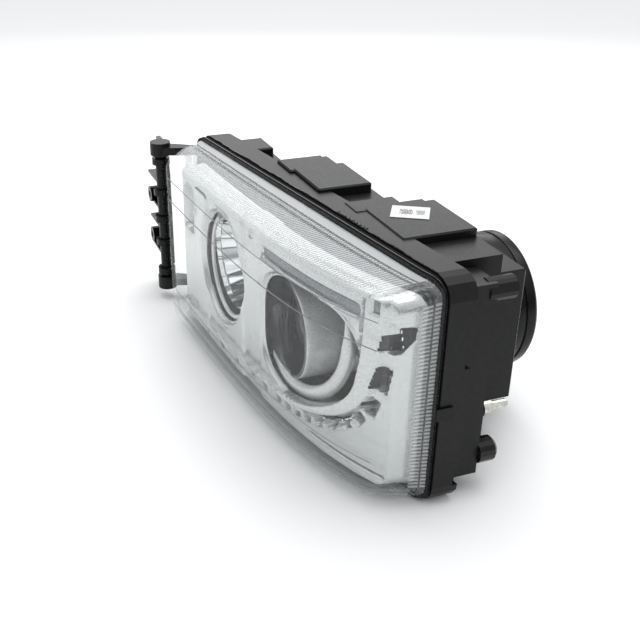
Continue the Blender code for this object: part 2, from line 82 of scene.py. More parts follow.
def middleOf(node):
    low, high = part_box(node)
    centre = (low + high) / 2
    return (lensHigh.x - centre.x) / mm, (centre.z - lensLow.z) / mm


def rearSpan(node):
    low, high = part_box(node)
    return (low.y - lensHigh.y) / mm, (high.y - lensHigh.y) / mm


# finishes
finishes = {
    "blackPlastic": dict(dark=(0.005, 0.005, 0.0055), light=(0.009, 0.009, 0.0095), rough=(0.34, 0.42),
                         scale=220, bump=0.06, bumpScale=1400, specular=0.22),
    "capPlastic": dict(dark=(0.003, 0.003, 0.0035), light=(0.006, 0.006, 0.0065), rough=(0.24, 0.32),
                       scale=180, bump=0.03, bumpScale=900, specular=0.2),
    "blackRubber": dict(dark=(0.005, 0.005, 0.005), light=(0.01, 0.01, 0.01), rough=(0.18, 0.34),
                        scale=160, bump=0.05, bumpScale=500, specular=0.3),
    "sealant": dict(dark=(0.003, 0.003, 0.003), light=(0.008, 0.008, 0.008), rough=(0.1, 0.2),
                    scale=220, bump=0.2, bumpScale=260, specular=0.5),
    "satinSilver": dict(dark=(0.58, 0.59, 0.59), light=(0.68, 0.69, 0.68), rough=(0.2, 0.28),
                        scale=330, bump=0.01, bumpScale=900, metallic=0.8, stretch=(1, 1, 4)),
    # painted shade: darker grey for the recessed channel, slot and notch of the bezel
    "recessShadeGrey": dict(dark=(0.2, 0.21, 0.22), light=(0.28, 0.29, 0.3), rough=(0.22, 0.3),
                        scale=330, bump=0.01, bumpScale=900, metallic=0.85, stretch=(1, 1, 4)),
    "chrome": dict(dark=(0.84, 0.85, 0.86), light=(0.93, 0.94, 0.94), rough=(0.04, 0.1),
                   scale=25, bump=0.006, bumpScale=180, metallic=1.0),
    # painted shade: near-black colour for the floors of the DRL pockets and the slit beside the beam
    "pocketShadeBlack": dict(dark=(0.004, 0.004, 0.005), light=(0.03, 0.032, 0.036), rough=(0.12, 0.22),
                         scale=160, bump=0.1, bumpScale=420, specular=0.25),
    # deepGrey: painted shade and reflection for the top of the low-beam chamber and the inside of the
    # hood; it also colours the projector glass ring
    "deepGrey": dict(dark=(0.1, 0.104, 0.108), light=(0.17, 0.175, 0.18), rough=(0.16, 0.22),
                     scale=9, bump=0.0, bumpScale=300, metallic=0.85),
    "brightSatin": dict(dark=(0.66, 0.67, 0.67), light=(0.76, 0.77, 0.76), rough=(0.24, 0.32),
                        scale=330, bump=0.01, bumpScale=900, metallic=0.35, stretch=(1, 1, 4)),
    # painted shade: dark grey, nearly opaque glass that stands for the shaded inside seen through the
    # projector lens
    "darkGlass": dict(dark=(0.05, 0.055, 0.06), light=(0.11, 0.12, 0.13), rough=(0.03, 0.07),
                      scale=60, bump=0.0, bumpScale=100, alpha=0.8),
    "zinc": dict(dark=(0.5, 0.5, 0.46), light=(0.72, 0.71, 0.66), rough=(0.22, 0.4),
                 scale=220, bump=0.03, bumpScale=900, metallic=1.0),
    "steel": dict(dark=(0.4, 0.4, 0.41), light=(0.58, 0.58, 0.58), rough=(0.24, 0.36),
                  scale=180, bump=0.02, bumpScale=900, metallic=1.0),
    "greyPlastic": dict(dark=(0.2, 0.2, 0.21), light=(0.29, 0.29, 0.3), rough=(0.4, 0.55),
                        scale=80, bump=0.05, bumpScale=900),
    "amberGlass": dict(dark=(0.72, 0.24, 0.03), light=(0.9, 0.38, 0.06), rough=(0.05, 0.12),
                       scale=60, bump=0.0, bumpScale=100, alpha=0.75),
    "bulbGlass": dict(dark=(0.74, 0.78, 0.8), light=(0.9, 0.92, 0.93), rough=(0.03, 0.08),
                      scale=60, bump=0.0, bumpScale=100, alpha=0.4),
    "paper": dict(dark=(0.56, 0.56, 0.55), light=(0.64, 0.64, 0.63), rough=(0.45, 0.6),
                  scale=300, bump=0.04, bumpScale=1600),
    "printInk": dict(dark=(0.09, 0.09, 0.09), light=(0.17, 0.17, 0.17), rough=(0.5, 0.65),
                     scale=500, bump=0.02, bumpScale=1600),
    "circuitGreen": dict(dark=(0.02, 0.12, 0.05), light=(0.05, 0.22, 0.1), rough=(0.3, 0.45),
                         scale=200, bump=0.05, bumpScale=600),
    "brass": dict(dark=(0.6, 0.42, 0.18), light=(0.8, 0.6, 0.3), rough=(0.2, 0.34),
                  scale=200, bump=0.02, bumpScale=800, metallic=1.0),
}


def noiseNode(tree, place, scale, detail):
    noise = tree.nodes.new("ShaderNodeTexNoise")
    noise.inputs["Scale"].default_value = scale
    noise.inputs["Detail"].default_value = detail
    tree.links.new(place, noise.inputs["Vector"])
    return noise


def rangeNode(tree, source, low, high):
    spread = tree.nodes.new("ShaderNodeMapRange")
    spread.inputs["From Min"].default_value = 0.3
    spread.inputs["From Max"].default_value = 0.7
    spread.inputs["To Min"].default_value = low
    spread.inputs["To Max"].default_value = high
    tree.links.new(source, spread.inputs["Value"])
    return spread


def makeFinish(name, look):
    material = bpy.data.materials.new(name)
    material.use_nodes = True
    tree = material.node_tree
    shader = tree.nodes["Principled BSDF"]
    shader.inputs["Metallic"].default_value = look.get("metallic", 0.0)
    shader.inputs["Specular IOR Level"].default_value = look.get("specular", 0.5)
    shader.inputs["Alpha"].default_value = look.get("alpha", 1.0)
    coordinates = tree.nodes.new("ShaderNodeTexCoord")
    mapping = tree.nodes.new("ShaderNodeMapping")
    mapping.inputs["Scale"].default_value = look.get("stretch", (1, 1, 1))
    tree.links.new(coordinates.outputs["Object"], mapping.inputs["Vector"])
    place = mapping.outputs["Vector"]
    cloud = noiseNode(tree, place, look["scale"], 4)
    tint = tree.nodes.new("ShaderNodeMix")
    tint.data_type = "RGBA"
    tint.inputs[6].default_value = (*look["dark"], 1)
    tint.inputs[7].default_value = (*look["light"], 1)
    tree.links.new(rangeNode(tree, cloud.outputs["Fac"], 0, 1).outputs["Result"], tint.inputs[0])
    tree.links.new(tint.outputs[2], shader.inputs["Base Color"])
    streak = noiseNode(tree, place, look["scale"] * 2.3, 2)
    spread = rangeNode(tree, streak.outputs["Fac"], *look["rough"])
    tree.links.new(spread.outputs["Result"], shader.inputs["Roughness"])
    if look["bump"]:
        fine = noiseNode(tree, place, look["bumpScale"], 2)
        bump = tree.nodes.new("ShaderNodeBump")
        bump.inputs["Strength"].default_value = look["bump"]
        bump.inputs["Distance"].default_value = 0.0004
        tree.links.new(fine.outputs["Fac"], bump.inputs["Height"])
        tree.links.new(bump.outputs["Normal"], shader.inputs["Normal"])
    return material


materials = {name: makeFinish(name, look) for name, look in finishes.items()}


# The lens lets light through unbent: its faint haze is painted from what is stored on its points, and so
# are the white glare on the fluted walls and the dark lines in the grooves. This painted reflection and
# shade stands in for what real flutes would reflect and bend.
lensLook = {
    "haze": 0.012,           # share of white in the clear face
    # painted reflection: white share that stands for the glare of the fluted walls
    "flutedPaintedGlare": 0.46,      # share of white in the fluted walls
    "pale": (0.82, 0.85, 0.86),
    # colour of the dark lines painted into the flute grooves as shade
    "paintedGrooveShade": (0.03, 0.032, 0.035),
    "faceGloss": 0.03,       # share mirrored head on
    "edgeGloss": 0.22,       # share mirrored at a glancing angle
    "gloss": 0.03,
}


def makeLensPlastic():
    material = bpy.data.materials.new("lensPlastic")
    material.use_nodes = True
    tree = material.node_tree
    body = tree.nodes["Principled BSDF"]
    body.inputs["Roughness"].default_value = 0.25
    groove = tree.nodes.new("ShaderNodeAttribute")
    groove.attribute_name = "groove"
    band = tree.nodes.new("ShaderNodeAttribute")
    band.attribute_name = "band"
    # painted colour: the pale white glare, darkened along the grooves by the painted shade of their lines
    tint = tree.nodes.new("ShaderNodeMix")
    tint.data_type = "RGBA"
    tint.inputs[6].default_value = (*lensLook["pale"], 1)
    tint.inputs[7].default_value = (*lensLook["paintedGrooveShade"], 1)
    tree.links.new(groove.outputs["Fac"], tint.inputs[0])
    tree.links.new(tint.outputs[2], body.inputs["Base Color"])
    share = tree.nodes.new("ShaderNodeMapRange")
    share.inputs["To Min"].default_value = lensLook["haze"]
    share.inputs["To Max"].default_value = lensLook["flutedPaintedGlare"]
    tree.links.new(band.outputs["Fac"], share.inputs["Value"])
    clear = tree.nodes.new("ShaderNodeBsdfTransparent")
    clear.inputs["Color"].default_value = (0.985, 0.99, 0.99, 1)
    hazeAndPaintedGlare = tree.nodes.new("ShaderNodeMixShader")
    tree.links.new(share.outputs["Result"], hazeAndPaintedGlare.inputs[0])
    tree.links.new(clear.outputs[0], hazeAndPaintedGlare.inputs[1])
    tree.links.new(body.outputs[0], hazeAndPaintedGlare.inputs[2])
    mirror = tree.nodes.new("ShaderNodeBsdfGlossy")
    mirror.inputs["Roughness"].default_value = lensLook["gloss"]
    facing = tree.nodes.new("ShaderNodeLayerWeight")
    facing.inputs["Blend"].default_value = 0.5
    steep = tree.nodes.new("ShaderNodeMath")
    steep.operation = "POWER"
    steep.inputs[1].default_value = 5.0
    tree.links.new(facing.outputs["Facing"], steep.inputs[0])
    glance = tree.nodes.new("ShaderNodeMath")
    glance.operation = "MULTIPLY_ADD"
    glance.inputs[1].default_value = lensLook["edgeGloss"]
    glance.inputs[2].default_value = lensLook["faceGloss"]
    tree.links.new(steep.outputs[0], glance.inputs[0])
    skin = tree.nodes.new("ShaderNodeMixShader")
    tree.links.new(glance.outputs[0], skin.inputs[0])
    tree.links.new(hazeAndPaintedGlare.outputs[0], skin.inputs[1])
    tree.links.new(mirror.outputs[0], skin.inputs[2])
    tree.links.new(skin.outputs[0], tree.nodes["Material Output"].inputs["Surface"])
    return material


materials["lensPlastic"] = makeLensPlastic()
print("finishes made")


# making pieces
def placePiece(name, mesh, look, body, replaces=(), smooth=40):
    for one in look if isinstance(look, tuple) else (look,):
        mesh.materials.append(materials[one])
    if smooth:
        mesh.shade_smooth()
        mesh.set_sharp_from_angle(angle=radians(smooth))
    piece = bpy.data.objects.new(name, mesh)
    bpy.context.scene.collection.objects.link(piece)
    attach(piece, body)
    if replaces:
        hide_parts(*replaces)
    return piece


def finishBmesh(name, bm, look, body, replaces=(), smooth=40, merge=0.0):
    if merge:
        bmesh.ops.remove_doubles(bm, verts=bm.verts[:], dist=merge * mm)
    bmesh.ops.recalc_face_normals(bm, faces=bm.faces[:])
    mesh = bpy.data.meshes.new(name)
    bm.to_mesh(mesh)
    bm.free()
    return placePiece(name, mesh, look, body, replaces, smooth)


def addRows(bm, rows, around=True, looped=False, caps=True, slot=0):
    grid = [[bm.verts.new(lamp(*point)) for point in row] for row in rows]
    count = len(grid[0])
    pairs = list(zip(grid, grid[1:] + grid[:1])) if looped else list(zip(grid, grid[1:]))
    for near, far in pairs:
        for i in range(count if around else count - 1):
            j = (i + 1) % count
            bm.faces.new((near[i], near[j], far[j], far[i])).material_index = slot
    if caps and not looped:
        for row in (grid[0], grid[-1]):
            bm.faces.new(row).material_index = slot
    return grid


def latheRows(profile, centre, sides, axis="y", ripple=None):
    rows = []
    for radius, depth in profile:
        row = []
        for k in range(sides):
            angle = 2 * pi * k / sides
            r = radius + (ripple(angle, radius, depth) if ripple else 0)
            a, b = centre[0] + r * cos(angle), centre[1] + r * sin(angle)
            row.append((a, depth, b) if axis == "y" else (a, b, depth))
        rows.append(row)
    return rows


def lathe(name, profile, centre, look, body, replaces=(), sides=96, axis="y", hollow=False,
          ripple=None, smooth=35, within=0.0):
    bm = bmesh.new()
    addRows(bm, latheRows(profile, centre, sides, axis, ripple), looped=hollow)
    for face in bm.faces:
        middle = face.calc_center_median()
        away = hypot((lensHigh.x - middle.x) / mm - centre[0], (middle.z - lensLow.z) / mm - centre[1])
        face.material_index = 1 if away < within else 0
    return finishBmesh(name, bm, look, body, replaces, smooth)


def eased(profile, steps=4):
    out = [profile[0]]
    for before, here, after in zip(profile, profile[1:], profile[2:]):
        reach = 0.3 * min(hypot(here[0] - before[0], here[1] - before[1]),
                          hypot(after[0] - here[0], after[1] - here[1]), 6.0)
        ends = []
        for other in (before, after):
            size = max(hypot(other[0] - here[0], other[1] - here[1]), 1e-6)
            ends.append([h + (o - h) * reach / size for h, o in zip(here, other)])
        for k in range(steps + 1):
            t = k / steps
            out.append(tuple((1 - t) ** 2 * a + 2 * t * (1 - t) * h + t * t * b
                             for a, h, b in zip(ends[0], here, ends[1])))
    return out + [profile[-1]]


def roundRect(s0, s1, u0, u1, radius, counts):
    topCount, cornerCount, sideCount = counts
    r = min(radius, (s1 - s0) / 2 - 0.02, (u1 - u0) / 2 - 0.02)
    corners = ((s0 + r, u1 - r, pi), (s1 - r, u1 - r, pi / 2), (s1 - r, u0 + r, 0.0),
               (s0 + r, u0 + r, -pi / 2))
    points = []
    for k, (cs, cu, start) in enumerate(corners):
        for i in range(cornerCount):
            angle = start - 0.5 * pi * i / cornerCount
            points.append((cs + r * cos(angle), cu + r * sin(angle), cos(angle), sin(angle),
                           "corner", i))
        angle = start - 0.5 * pi
        first = (cs + r * cos(angle), cu + r * sin(angle))
        following = corners[(k + 1) % 4]
        last = (following[0] + r * cos(angle), following[1] + r * sin(angle))
        count, part = (topCount, "long") if k % 2 == 0 else (sideCount, "short")
        for i in range(count):
            share = i / count
            points.append((first[0] + (last[0] - first[0]) * share,
                           first[1] + (last[1] - first[1]) * share, cos(angle), sin(angle), part, i))
    return points


def tube(name, path, radius, look, body, sides=8, replaces=()):
    bm = bmesh.new()
    rows = []
    for k, point in enumerate(path):
        here = Vector(point)
        ahead = Vector(path[min(k + 1, len(path) - 1)]) - Vector(path[max(k - 1, 0)])
        across = ahead.cross(Vector((0, 0, 1)) if abs(ahead.z) < 0.9 * ahead.length
                             else Vector((1, 0, 0))).normalized()
        up = across.cross(ahead).normalized()
        rows.append([tuple(here + radius * (cos(2 * pi * i / sides) * across
                                            + sin(2 * pi * i / sides) * up)) for i in range(sides)])
    addRows(bm, rows)
    return finishBmesh(name, bm, look, body, replaces)


def alongCurve(points, t):
    t = min(max(t, 0.0), 0.999999) * (len(points) - 1)
    k = int(t)
    x = t - k
    p0, p1 = points[max(k - 1, 0)], points[k]
    p2, p3 = points[k + 1], points[min(k + 2, len(points) - 1)]
    return tuple(0.5 * (2 * b + (c - a) * x + (2 * a - 5 * b + 4 * c - d) * x * x
                        + (3 * b - a - 3 * c + d) * x ** 3) for a, b, c, d in zip(p0, p1, p2, p3))


# outer lens
lens = {"flutes": 116, "sideFlutes": 49, "perFlute": 4, "depth": 0.55, "wallRows": 30,
        "thickness": 3.0, "faceSteps": 5, "sweptBack": 7.0}
lensStations = ((0.0, 0.0, seamWidth, 0.0, seamHeight, 14.0), (0.55, 1.5, 454.0, 3.0, 212.0, 15.0),
                (1.0, 4.0, 431.0, 7.0, 208.0, 16.0))


def lensOutline(share):
    for before, after in zip(lensStations, lensStations[1:]):
        if share <= after[0]:
            t = (share - before[0]) / (after[0] - before[0])
            return [a + (b - a) * t for a, b in zip(before[1:], after[1:])]
    return list(lensStations[-1][1:])


def flangeY(s):
    return seamY(s) + lens["sweptBack"] * exp(-max(s, 0.0) / 9.0)


def fluteBand(share, part):
    rows = ((0.2, 0.28), (0.3, 0.81), (0.84, 0.96)) if part != "short" else ((0.01, 0.15), (0.17, 0.42))
    for low, high in rows:
        if low < share < high:
            return min(1.0, 9 * min(share - low, high - share) / (high - low))
    return 0.0


# White share of the painted glare on the fluted walls: strong along the top band, lighter at the corners.
def paintedFluteGlare(share, part, band):
    if part == "corner":
        return 0.3 * max(band, 0.6 if share < 0.2 else 0.0)
    if part == "long" and share < 0.2:
        return 0.9
    return band


def makeLens():
    counts = (lens["flutes"] * lens["perFlute"], 24, lens["sideFlutes"] * lens["perFlute"])
    rows, marks = [], []
    total = lens["wallRows"]
    for k in range(total + 1):
        share = k / total
        row, mark = [], []
        for s, u, outS, outU, part, i in roundRect(*lensOutline(share), counts):
            band = fluteBand(share, part)
            if part == "corner":
                wave = abs(sin(pi * i / 6.0))
                push = band * 1.3 * (wave - 1)
            else:
                wave = abs(sin(pi * i / lens["perFlute"]))
                push = band * lens["depth"] * (wave - 1)
            y = flangeY(s) + share * (frontY(s) + 4 - flangeY(s))
            row.append((s + outS * push, y, u + outU * push))
            narrow = 1.0 if share > 0.82 or part == "short" else 0.8
            mark.append((band * (1 - wave) * narrow, paintedFluteGlare(share, part, band)))
        rows.append(row)
        marks.append(mark)
    for k in range(1, 5):
        angle = 0.5 * pi * k / 4
        inset, rise = 6 * (1 - cos(angle)), 4 * sin(angle)
        box = (4 + inset, 431 - inset, 7 + inset * 0.85, 208 - inset * 0.85, 16 - inset * 0.5)
        rows.append([(s, frontY(s) + 4 - rise, u) for s, u, *_ in roundRect(*box, counts)])
        # the rounded front edge gets a painted white glare that fades towards the face
        marks.append([(0.0, 0.2 * (1 - k / 4))] * len(rows[0]))
    for k in range(1, lens["faceSteps"] + 1):
        inset = 95.4 * k / lens["faceSteps"]
        box = (10 + inset, 425 - inset, 12.1 + inset, 202.9 - inset, 13)
        rows.append([(s, frontY(s), u) for s, u, *_ in roundRect(*box, counts)])
        marks.append([(0.0, 0.0)] * len(rows[0]))
    t = lens["thickness"]
    inner = []
    for share in (0.0, 0.3, 0.55, 0.8, 1.0):
        s0, s1, u0, u1, r = lensOutline(share)
        inner.append([(s, flangeY(s) + share * (frontY(s) + 5 + t - flangeY(s)), u) for s, u, *_ in
                      roundRect(s0 + t, s1 - t, u0 + t, u1 - t, r - t, counts)])
    for inset in (6, 50, 94.4):
        box = (5 + t + inset, 430 - t - inset, 6 + t + inset, 209 - t - inset, 12)
        inner.append([(s, frontY(s) + t, u) for s, u, *_ in roundRect(*box, counts)])
    everyRow = inner[::-1] + rows
    everyMark = [[(0.0, 0.0)] * len(rows[0])] * len(inner) + marks
    count = len(rows[0])
    verts = [lamp(*point) for row in everyRow for point in row]
    faces = [(r * count + i, r * count + (i + 1) % count, (r + 1) * count + (i + 1) % count,
              (r + 1) * count + i) for r in range(len(everyRow) - 1) for i in range(count)]
    mesh = bpy.data.meshes.new("lens_cover")
    mesh.from_pydata(verts, [], faces)
    for place, name in enumerate(("groove", "band")):
        layer = mesh.attributes.new(name, "FLOAT", "POINT")
        layer.data.foreach_set("value", [m[place] for mark in everyMark for m in mark])
    bm = bmesh.new()
    bm.from_mesh(mesh)
    bmesh.ops.remove_doubles(bm, verts=bm.verts[:], dist=0.02 * mm)
    bmesh.ops.holes_fill(bm, edges=[e for e in bm.edges if e.is_boundary], sides=0)
    bmesh.ops.recalc_face_normals(bm, faces=bm.faces[:])
    bm.to_mesh(mesh)
    bm.free()
    placePiece("lens_cover", mesh, "lensPlastic", "lamp", ("outer_lens",), smooth=50)


makeLens()

# fine moulded rules across the face of the lens
for place, (height, width) in enumerate(((185, 0.45), (159, 0.5), (47, 0.3), (24, 0.3))):
    line = [(s, frontY(s) - 0.1, height) for s in np.linspace(11, 422, 60)]
    tube(f"lens_rule_{place + 1}", line, width, "greyPlastic", "lamp", sides=6)
print("lens made")


# inner bezel, drawn as one moulded sheet
bezel = {"edge": (6.5, 421.0, 12.0, 203.0, 15.0), "setBack": 16.0, "step": 1.1, "wall": 1.2,
         "beamRise": 6.0, "pocketDepth": 15.0}
beamPath = ((26, 192, 22), (26.5, 165, 22), (28.5, 140, 22), (32, 119, 20), (39, 99, 18), (50, 84, 16),
            (66, 71, 14), (92, 57.5, 11), (129, 47.5, 8), (200, 42, 6), (300, 38.5, 5), (412, 35.5, 4))
pocketPath = ((12.6, 168), (15, 146), (17.6, 126), (26, 95), (38, 77), (52, 64.5), (71, 52.7), (90, 45),
              (107, 40.5), (125, 36.8), (146, 34.6), (170, 34), (193, 33), (218, 31.5), (243, 30),
              (290, 26.5), (344, 22.5))
pockets = ((12.6, 165, 25, 9.5), (17.3, 125.5, 26, 11), (27, 93.5, 20, 11.5), (39.5, 75, 14, 10),
           (53, 62.5, 11, 9), (70.5, 51.8, 11, 8), (88, 44.5, 10, 7.5), (105, 39.5, 9, 7),
           (122, 36.2, 9, 6.5), (139, 33.8, 8, 6), (158, 32.6, 8, 6), (186, 31.6, 9, 5.5),
           (219, 30, 9, 5.5), (256, 28, 9, 5), (297, 25, 9, 5), (344, 21.6, 9, 5))
chamber = {"centre": (119.5, 109.5), "half": (77.0, 62.5), "power": 3.2, "shadeAbove": 116.0,
           "edgeBehind": 25.0, "backY": -27.0}
highEye = {"centre": (295.0, 121.0), "half": (55.0, 64.0), "top": 184.0}
turnEye = {"s": (381.0, 409.0), "u": (128.0, 180.0)}


def smooth(t):
    t = np.clip(t, 0, 1)
    return t * t * (3 - 2 * t)


def boxDistance(s, u, s0, s1, u0, u1, radius):
    a = np.abs(s - (s0 + s1) / 2) - ((s1 - s0) / 2 - radius)
    b = np.abs(u - (u0 + u1) / 2) - ((u1 - u0) / 2 - radius)
    return np.hypot(np.maximum(a, 0), np.maximum(b, 0)) + np.minimum(np.maximum(a, b), 0) - radius


def roundDistance(s, u, centre, half, power=2.0):
    a, b = np.abs(s - centre[0]) / half[0], np.abs(u - centre[1]) / half[1]
    return ((a ** power + b ** power) ** (1 / power) - 1) * min(half)


def pathDistance(s, u, points):
    best, width = np.full(s.shape, 1e9), np.zeros(s.shape)
    for before, after in zip(points, points[1:]):
        ds, du = after[0] - before[0], after[1] - before[1]
        t = np.clip(((s - before[0]) * ds + (u - before[1]) * du) / (ds * ds + du * du), 0, 1)
        away = np.hypot(s - before[0] - t * ds, u - before[1] - t * du)
        near = away < best
        best = np.where(near, away, best)
        width = np.where(near, before[2] + t * (after[2] - before[2]), width)
    return best, width


def pocketDirection(s, u):
    nearest = min(range(len(pocketPath)), key=lambda k: hypot(pocketPath[k][0] - s, pocketPath[k][1] - u))
    before, after = pocketPath[max(nearest - 1, 0)], pocketPath[min(nearest + 1, len(pocketPath) - 1)]
    size = hypot(after[0] - before[0], after[1] - before[1])
    return (after[0] - before[0]) / size, (after[1] - before[1]) / size


def finePath(points, count=90):
    return [alongCurve(points, k / count) for k in range(count + 1)]


def bezelDepth(s, u):
    depth = np.full(s.shape, bezel["setBack"])
    look = np.zeros(s.shape, int)
    depth += 2.2 * smooth((s - 196) / 5) * smooth((243 - s) / 5)      # divider
    # Look 1 paints shade as a darker grey into the recessed channel, and below into the slot and the
    # notch.
    channel = boxDistance(s, u, 44, 196, 173, 187, 6)
    depth += 3.0 * smooth(-channel / 2.5)
    look[channel < -1.0] = 1
    ledge = np.abs(u - 172) + 6 * np.maximum(0, np.abs(s - 120) - 76)
    depth -= 1.2 * smooth((2.2 - ledge) / 2.2)
    slot = boxDistance(s, u, 12, 108, 21.5, 27.5, 3)
    depth += 3.0 * smooth(-slot / 1.6)
    look[slot < -1.2] = 1
    panel = boxDistance(s, u, 336, 374, 34, 190, 6)
    depth -= 1.6 * smooth(-panel / 2.0)
    for centre in ((223.6, 186.8), (202.5, 144.8), (213.6, 75), (372, 161)):
        fromDot = np.hypot(s - centre[0], u - centre[1])
        depth += 1.1 * smooth((3.6 - np.abs(fromDot - 2.2)) / 1.4) - 0.8 * smooth((2.0 - fromDot) / 1.0)
    away, width = pathDistance(s, u, finePath(beamPath))
    beam = smooth((width / 2 - away) / 2.4)
    crown = np.sqrt(np.clip(1 - (away / (width / 2 + 0.01)) ** 2, 0, 1))
    look[beam > 0.6] = 4
    depth = depth * (1 - beam) + beam * (bezel["setBack"] - bezel["beamRise"] * (0.55 + 0.45 * crown))
    slit, slitWidth = pathDistance(s, u, [(p[0] + 15.5, p[1] - 1, 3.0) for p in finePath(beamPath[:4])])
    depth += 9 * smooth((slitWidth - slit) / 1.6)
    # the slit floor is painted near-black as shade
    look[slit < slitWidth - 0.8] = 2
    notch = boxDistance(s, u, 20, 30, 184, 199, 2)
    depth += 4.0 * smooth(-notch / 2.0)
    look[notch < -1.5] = 1
    for place, (ps, pu, length, across) in enumerate(pockets):
        ds, du = pocketDirection(ps, pu)
        a, b = (s - ps) * ds + (u - pu) * du, -(s - ps) * du + (u - pu) * ds
        taper = 1 + 0.3 * a / length
        hole = np.maximum(np.abs(a) - length / 2, np.abs(b) - across / 2 * taper)
        depth += bezel["pocketDepth"] * min(1, 0.4 + across / 18) * smooth(-hole / 1.0)
        # the pocket floors are painted near-black as shade
        look[hole < -0.3] = 2
        strut = np.abs(b - across * (0.35 - 0.7 * (a / length + 0.5))) < 0.9
        bright = strut | ((np.abs(b) < across * 0.2) & (a > length * 0.12) & (a < length * 0.34))
        look[bright & (hole < -1.0)] = 3
        depth -= 5.0 * (strut & (hole < -0.6))
        rim = smooth((2.2 - np.abs(hole - 0.6)) / 1.6)
        depth -= 0.7 * rim
    low = roundDistance(s, u, chamber["centre"], chamber["half"], chamber["power"])
    high = np.maximum(roundDistance(s, u, highEye["centre"], highEye["half"]), u - highEye["top"])
    turn = boxDistance(s, u, *turnEye["s"], *turnEye["u"], 7)
    low = np.where(beam > 0.3, np.maximum(low, 1.0), low)
    for hole, fall in ((low, 3.5), (high, 4.0), (turn, 8.0)):
        depth += fall * smooth((1.2 - hole) / 2.4) - 0.9 * smooth((2.4 - np.abs(hole - 2.6)) / 2.0)
    opened = (low < -1.4) | (high < -1.4) | (turn < -1.4)
    border = boxDistance(s, u, *bezel["edge"])
    depth += 24 * smooth((border + 3.0) / 3.0)
    return depth, look, opened, border


def makeBezel():
    s0, s1, u0, u1, _ = bezel["edge"]
    across, up = int((s1 - s0) / bezel["step"]), int((u1 - u0) / bezel["step"])
    s, u = np.meshgrid(np.linspace(s0, s1, across + 1), np.linspace(u0, u1, up + 1), indexing="ij")
    depth, look, opened, border = bezelDepth(s, u)
    lensFront = -(92.5 + 0.055 * s - 54.5 * np.exp(-s / 94.0))
    rear = np.minimum(lensFront + depth, seamY(s) + 4)
    verts = [lamp(*point) for point in zip(s.ravel(), rear.ravel(), u.ravel())]
    wide = up + 1
    faces, slots = [], []
    for i in range(across):
        for j in range(up):
            if opened[i:i + 2, j:j + 2].all() or (border[i:i + 2, j:j + 2] > -0.2).all():
                continue
            faces.append((i * wide + j, i * wide + j + 1, (i + 1) * wide + j + 1, (i + 1) * wide + j))
            slots.append(int(look[i:i + 2, j:j + 2].min()))
    mesh = bpy.data.meshes.new("bezel_moulding")
    mesh.from_pydata(verts, [], faces)
    mesh.polygons.foreach_set("material_index", slots)
    bm = bmesh.new()
    bm.from_mesh(mesh)
    bmesh.ops.delete(bm, geom=[v for v in bm.verts if not v.link_faces], context="VERTS")
    bmesh.ops.recalc_face_normals(bm, faces=bm.faces[:])
    if bm.faces[0].normal.y > 0:
        bmesh.ops.reverse_faces(bm, faces=bm.faces[:])
    bmesh.ops.solidify(bm, geom=bm.faces[:], thickness=bezel["wall"] * mm)
    bm.to_mesh(mesh)
    bm.free()
    looks = ("satinSilver", "recessShadeGrey", "pocketShadeBlack", "chrome", "brightSatin")
    placePiece("bezel_moulding", mesh, looks, "lamp",
               ("bezel", "bezel_screw_1", "bezel_screw_2", "bezel_screw_3"), smooth=45)


makeBezel()
print("bezel made")

# low beam: chamber, rim, glass and the arc beside it
projectorPlace = middleOf("projector_shroud")
hood = {"front": rearSpan("projector_shroud")[0], "rim": 49.0}


def makeChamber():
    (cs, cu), (hs, hu), power = chamber["centre"], chamber["half"], chamber["power"]
    rows = []
    for k in range(15):
        share = k / 14
        row = []
        for i in range(120):
            angle = 2 * pi * i / 120
            c, d = cos(angle), sin(angle)
            reach = (abs(c / hs) ** power + abs(d / hu) ** power) ** (-1 / power)
            s, u = cs + reach * c, cu + reach * d
            inS, inU = projectorPlace[0] + 60 * c, projectorPlace[1] + 60 * d
            bend = smooth(share)
            belly = 1 - (1 - share) ** 1.8
            y = (frontY(s) + chamber["edgeBehind"]) * (1 - belly) + chamber["backY"] * belly
            row.append((float(s + (inS - s) * bend), float(y), float(u + (inU - u) * bend)))
        rows.append(row)
    back = [[(s, y + 1.2, u) for s, y, u in row] for row in rows[::-1]]
    bm = bmesh.new()
    addRows(bm, rows + back, looped=True)
    for face in bm.faces:
        # faces above shadeAbove get the dark grey: painted shade and reflection on the top of the chrome
        # chamber
        height = (face.calc_center_median().z - lensLow.z) / mm
        face.material_index = 1 if height > chamber["shadeAbove"] else 0
    finishBmesh("low_beam_chamber", bm, ("chrome", "deepGrey"), "lamp", ("projector_surround",))


makeChamber()
rim, front = hood["rim"], hood["front"]
hoodProfile = [(46.5, front + 3), (47.6, front), (rim, front - 0.4), (51.2, front + 1.5),
               (51.6, front + 5), (52.2, front + 26), (52.4, front + 49), (51.0, front + 50),
               (50.2, front + 44), (49.6, front + 25), (48.4, front + 8)]
# faces nearer the axis than 50.4 mm, the hood's inside and rim, get the dark grey as painted shade
lathe("projector_hood", eased(hoodProfile),
      projectorPlace, ("brightSatin", "deepGrey"), "reflectors", ("projector_shroud",), hollow=True,
      within=50.4)
# the projector glass is painted dark grey as the shade behind it
lathe("projector_glass", [(35, -30), (35, -34)] + [(35 * cos(a), -34 - 16 * sin(a)) for a in
                                                    np.linspace(0.08, 1.5, 14)],
      projectorPlace, "darkGlass", "reflectors", ("projector_lens",))
lathe("projector_glass_ring", eased([(35.4, -38), (37, -38.5), (40, -36), (47, -14), (47, -11), (36, -11),
                                     (36, -30), (34.4, -30)]),
      projectorPlace, "deepGrey", "reflectors", ("projector_lens_holder",), hollow=True)


